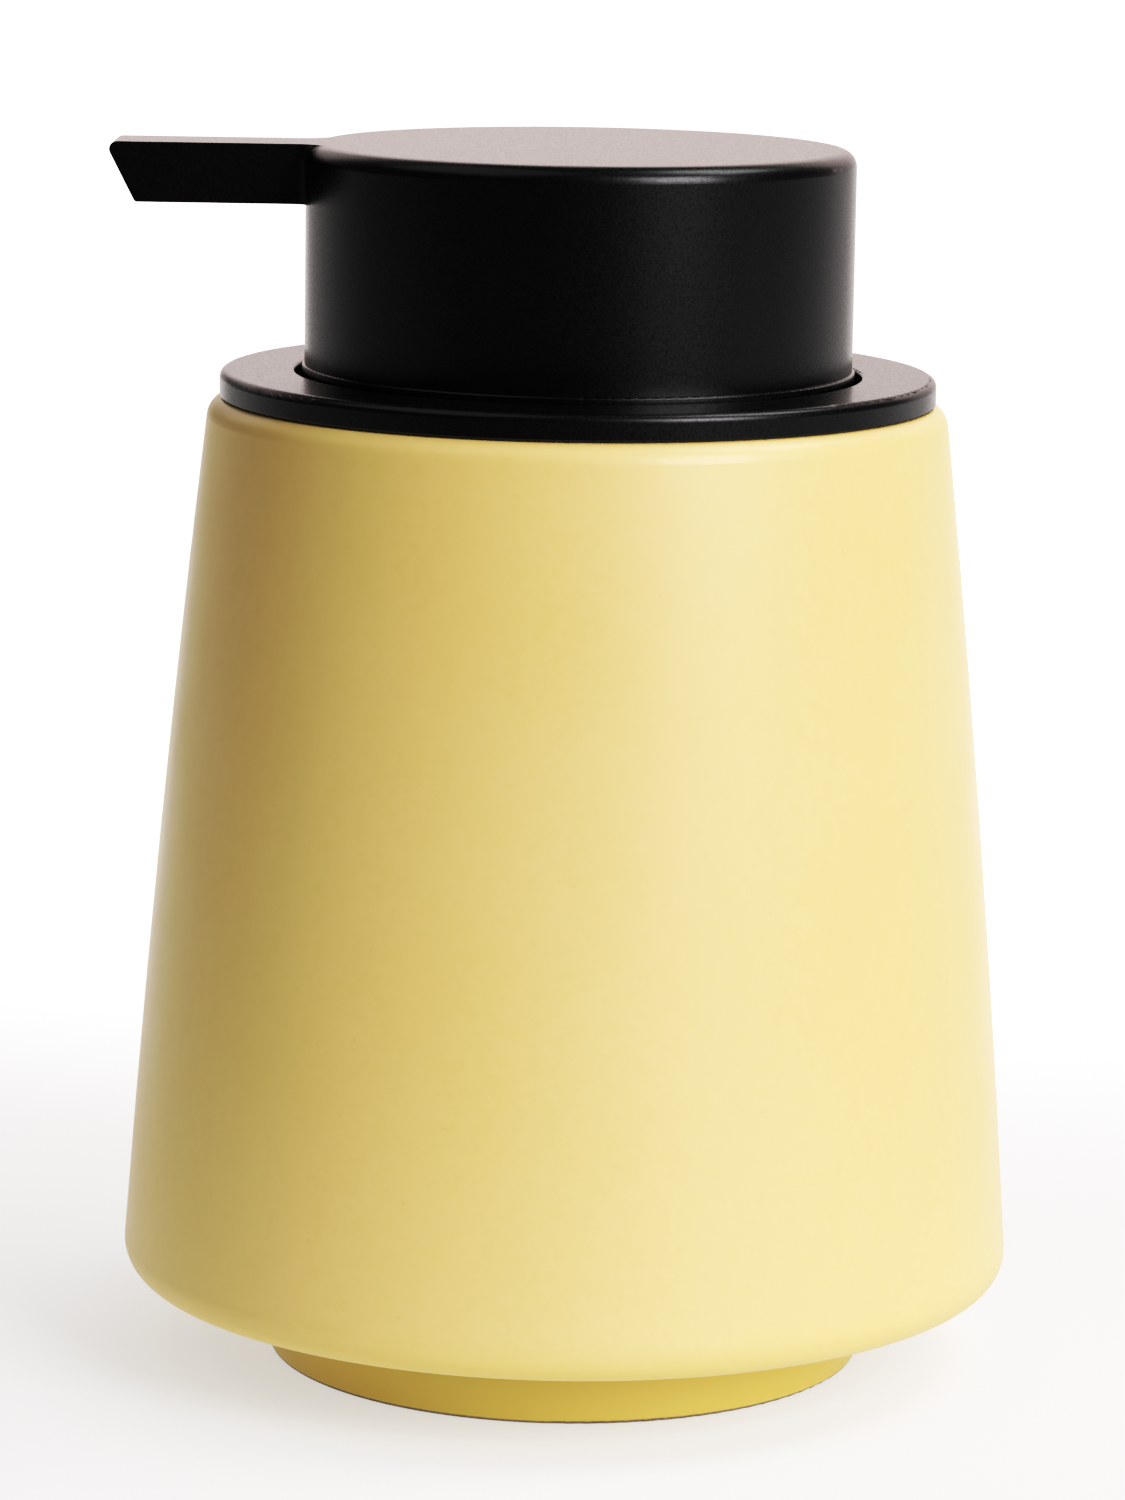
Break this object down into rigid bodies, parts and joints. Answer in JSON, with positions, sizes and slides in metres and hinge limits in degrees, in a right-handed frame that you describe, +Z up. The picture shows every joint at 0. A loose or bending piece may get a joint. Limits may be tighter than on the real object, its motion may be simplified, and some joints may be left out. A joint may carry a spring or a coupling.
{
  "type": "soap pump dispenser",
  "caption": "Tapered glazed ceramic soap bottle on a recessed foot, with a black collar disc and a wide cylindrical press head that has a slim straight spout.",
  "frame": {"origin": "centre of the foot ring's bottom face, on the surface that the bottle stands on, on the pump's axis", "axes": "+Z up along the pump's axis, -X the way the spout points at rest, +Y away from a viewer who has the spout on the left"},
  "size_m": [0.0896, 0.088, 0.12],
  "materials": {
    "glaze": "satin pastel yellow glaze over a pale clay, bare on the foot's edge",
    "matte_black": "fine matte spark texture",
    "matte_black_core": "fine matte spark texture",
    "black_polymer": "moulded, slightly satin",
    "white_polymer": "moulded, satin",
    "natural_polymer": "milky moulded",
    "dip_tube": "milky extruded tube",
    "silicone": "translucent grey silicone",
    "gasket": "matte foam",
    "spring_steel": "drawn wire",
    "steel_ball": "polished ball"
  },
  "bodies": {
    "bottle": {"ceramic_body": "glaze"},
    "insert": {"collar": "matte_black", "pump_carrier": "black_polymer", "seal_ring": "silicone", "closure_nut": "white_polymer", "neck_gasket": "gasket", "pump_housing": "white_polymer", "chaplet": "white_polymer", "ball_cage": "natural_polymer", "return_spring": "spring_steel", "dip_tube": "dip_tube"},
    "valve_ball": {"inlet_ball": "steel_ball"},
    "piston": {"piston": "natural_polymer"},
    "head": {"head_shell": "matte_black", "head_core": "matte_black_core", "spout_tube": "natural_polymer", "stem": "white_polymer", "stem_plug": "natural_polymer"}
  },
  "joints": [
    {"name": "insert_lift", "type": "slide", "parent": "bottle", "child": "insert", "axis": [0, 0, 1], "range_m": [0, 0.1]},
    {"name": "press", "type": "slide", "parent": "insert", "child": "piston", "axis": [0, 0, -1], "range_m": [0, 0.012], "stiffness_N_per_m": 700, "springref_m": -0.008, "deforming": ["return_spring"]},
    {"name": "head_swivel", "type": "hinge", "parent": "piston", "child": "head", "pos_m": [0, 0, 0.1], "axis": [0, 0, 1], "continuous": true},
    {"name": "inlet_ball_lift", "type": "slide", "parent": "insert", "child": "valve_ball", "axis": [0, 0, 1], "range_m": [0, 0.0015]}
  ]
}
